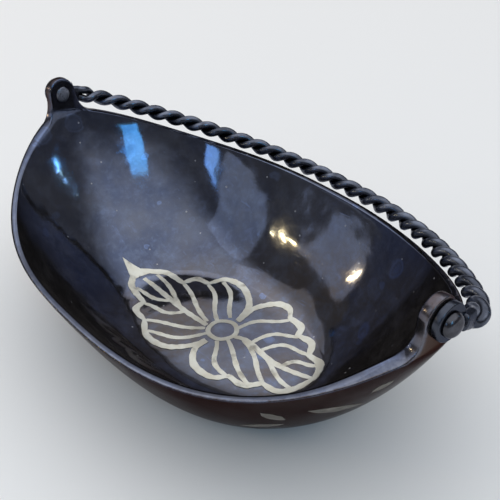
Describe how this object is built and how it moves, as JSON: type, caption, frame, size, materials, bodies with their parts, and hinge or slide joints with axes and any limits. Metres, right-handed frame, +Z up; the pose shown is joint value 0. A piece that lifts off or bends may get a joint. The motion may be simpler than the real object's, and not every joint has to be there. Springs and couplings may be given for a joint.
{
  "type": "metal basket bowl",
  "caption": "Boat-shaped blackened metal bowl with inlaid silver flower and leaves, and a swinging bail handle of twisted wire riveted to its raised lugs.",
  "frame": {"origin": "middle of the flat base, on the surface it stands on", "axes": "+X along the bowl's length from nose to nose, +Y towards the side the handle is folded down on, +Z up"},
  "size_m": [0.1566, 0.0919, 0.0571],
  "materials": {
    "black_alloy": "polished black",
    "rivet_metal": "satin black",
    "handle_metal": "semi-gloss black",
    "silver": "worn satin silver"
  },
  "bodies": {
    "bowl": {"bowl_body": "black_alloy", "left_rivet": "rivet_metal", "right_rivet": "rivet_metal", "flower_ring": "silver", "left_leaf_border": "silver", "left_leaf_midrib": "silver", "left_leaf_vein_1": "silver", "left_leaf_vein_2": "silver", "left_leaf_vein_3": "silver", "left_leaf_vein_4": "silver", "left_leaf_vein_5": "silver", "left_leaf_vein_6": "silver", "left_leaf_vein_7": "silver", "left_leaf_vein_8": "silver", "right_leaf_border": "silver", "right_leaf_midrib": "silver", "right_leaf_vein_1": "silver", "right_leaf_vein_2": "silver", "right_leaf_vein_3": "silver", "right_leaf_vein_4": "silver", "right_leaf_vein_5": "silver", "right_leaf_vein_6": "silver", "right_leaf_vein_7": "silver", "right_leaf_vein_8": "silver", "wall_leaf_01": "silver", "wall_leaf_02": "silver", "wall_leaf_03": "silver", "wall_leaf_04": "silver", "wall_leaf_05": "silver", "wall_leaf_06": "silver", "wall_leaf_07": "silver", "wall_leaf_08": "silver", "wall_leaf_09": "silver", "wall_leaf_10": "silver", "wall_leaf_11": "silver", "wall_leaf_12": "silver", "wall_leaf_13": "silver", "wall_leaf_14": "silver"},
    "bail": {"handle_wire_a": "handle_metal", "handle_wire_b": "handle_metal", "left_handle_eye": "handle_metal", "right_handle_eye": "handle_metal"}
  },
  "joints": [
    {"name": "handle_swing", "type": "hinge", "parent": "bowl", "child": "bail", "pos_m": [0, 0, 0.0522], "axis": [1, 0, 0], "range_deg": [0, 226]}
  ]
}
